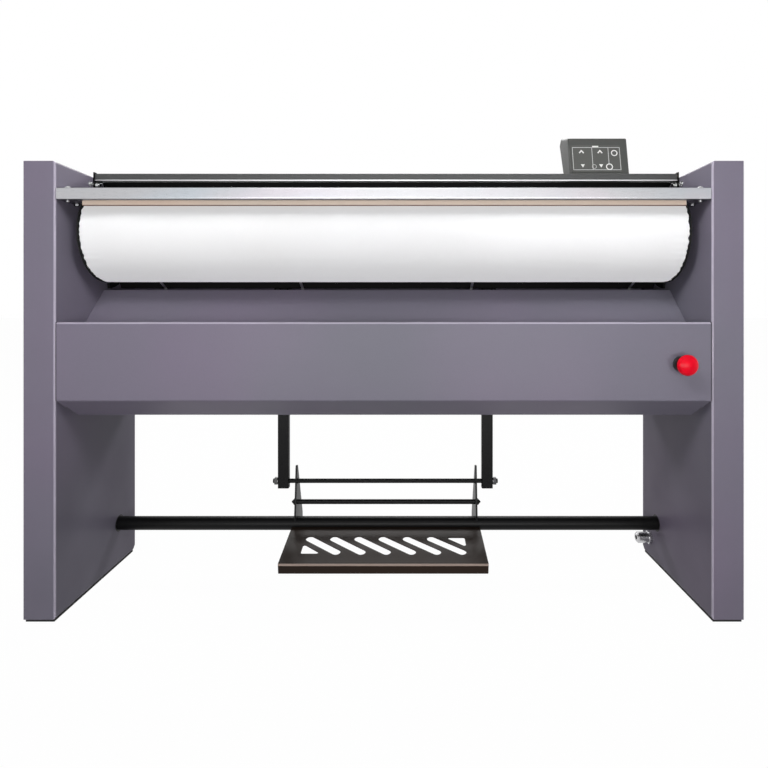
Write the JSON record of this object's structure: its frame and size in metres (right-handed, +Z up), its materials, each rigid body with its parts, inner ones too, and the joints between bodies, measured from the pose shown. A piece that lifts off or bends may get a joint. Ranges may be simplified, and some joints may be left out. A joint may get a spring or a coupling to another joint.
{
  "type": "flatwork ironer",
  "caption": "Free-standing flatwork ironer: padded roller with a heated chest behind it, feed bar, linen tray, hand guard, stop button and a foot pedal that closes the chest.",
  "frame": {"origin": "on the floor, under the middle of the machine's box", "axes": "+X along the roller to the right as the operator sees it, +Y to the back, +Z up"},
  "size_m": [1.61, 0.398, 1.17],
  "materials": {
    "frame_paint": "fine satin powder coat",
    "black_paint": "satin black paint",
    "tread_paint": "dark bronze-black satin paint",
    "guard_paint": "dark grey satin paint",
    "stainless": "brushed along its length",
    "roller_cloth": "tight white cloth over soft padding",
    "chest_aluminium": "machined and polished by use",
    "galvanised_sheet": "plain galvanised sheet",
    "heater_steel": "heat-tinted tube",
    "bright_steel": "turned",
    "zinc_fasteners": "bright zinc plate",
    "feed_strip": "brown laminate",
    "control_grey": "fine grey texture",
    "membrane": "satin membrane with pale outlines",
    "stop_red": "glossy moulded red",
    "black_plastic": "moulded black",
    "rubber": "matt black",
    "belt_rubber": "matt black",
    "cast_iron": "painted casting",
    "motor_paint": "blue-grey paint",
    "gland_metal": "dull nickel-plated"
  },
  "bodies": {
    "frame": {"post_left": "frame_paint", "post_right": "frame_paint", "side_cover_left": "frame_paint", "side_cover_right": "frame_paint", "side_cover_screws": "zinc_fasteners", "foot_pads": "rubber", "front_beam": "frame_paint", "linen_tray": "frame_paint", "stripper_fingers": "stainless", "feed_bar": "stainless", "feed_lip": "feed_strip", "feed_brackets": "frame_paint", "feed_nuts": "zinc_fasteners", "guard_pins": "bright_steel", "guard_switch": "black_plastic", "top_cover": "black_paint", "rear_cover": "frame_paint", "cross_rail": "black_paint", "lever_bumpers": "rubber", "control_box": "control_grey", "control_panel": "membrane", "stop_collar": "black_plastic", "stop_block": "black_plastic", "roller_bearings": "cast_iron", "motor_body": "motor_paint", "gearbox": "cast_iron", "motor_bracket": "black_paint", "drive_belt": "belt_rubber", "chest_pivots": "bright_steel", "axle_bushes": "black_plastic", "gland_body": "gland_metal", "gland_cap": "gland_metal"},
    "roller": {"roller_padding": "roller_cloth", "roller_tube": "bright_steel", "roller_end_left": "bright_steel", "roller_end_right": "bright_steel", "roller_pulley": "cast_iron"},
    "motor_drive": {"motor_shaft": "bright_steel", "motor_pulley": "cast_iron"},
    "chest": {"chest_plate": "chest_aluminium", "heaters": "heater_steel", "heater_straps": "galvanised_sheet", "chest_cover": "black_paint", "chest_ends": "black_paint", "lever_left": "black_paint", "lever_right": "black_paint", "lever_saddles": "black_paint", "upper_rod": "black_paint", "upper_rod_nuts": "zinc_fasteners"},
    "pedal": {"pedal_axle": "black_paint", "pedal_tread": "tread_paint", "pedal_blade_left": "black_paint", "pedal_blade_right": "black_paint", "lower_rod": "black_paint", "lower_rod_nuts": "black_paint"},
    "guard": {"guard_bar": "guard_paint", "guard_arm_left": "black_paint", "guard_arm_right": "black_paint"},
    "stop_plunger": {"stop_stem": "black_plastic"},
    "stop_knob": {"stop_head": "stop_red"}
  },
  "joints": [
    {"name": "roller_spin", "type": "hinge", "parent": "frame", "child": "roller", "pos_m": [0, -0.007, 0.883], "axis": [1, 0, 0], "continuous": true},
    {"name": "motor_spin", "type": "hinge", "parent": "frame", "child": "motor_drive", "pos_m": [0.775, 0.108, 0.56], "axis": [1, 0, 0], "continuous": true},
    {"name": "pedal_press", "type": "hinge", "parent": "frame", "child": "pedal", "pos_m": [0, 0.113, 0.113], "axis": [1, 0, 0], "range_deg": [0, 12], "stiffness_Nm_per_rad": 20, "springref_deg": -17.19},
    {"name": "chest_swing", "type": "hinge", "parent": "frame", "child": "chest", "pos_m": [0, 0.048, 1], "axis": [-1, 0, 0], "range_deg": [0, 1.77]},
    {"name": "guard_lift", "type": "hinge", "parent": "frame", "child": "guard", "pos_m": [0, 0.021, 1.029], "axis": [-1, 0, 0], "range_deg": [0, 10]},
    {"name": "stop_push", "type": "slide", "parent": "frame", "child": "stop_plunger", "axis": [0, 1, 0], "range_m": [0, 0.004]},
    {"name": "stop_release", "type": "hinge", "parent": "stop_plunger", "child": "stop_knob", "pos_m": [0.664, -0.189, 0.578], "axis": [0, 1, 0], "range_deg": [0, 30], "stiffness_Nm_per_rad": 0.2}
  ],
  "couplings": [
    {"joint": "motor_spin", "follows": "roller_spin", "ratio": 2.3636},
    {"joint": "chest_swing", "follows": "pedal_press", "ratio": 0.1466}
  ]
}
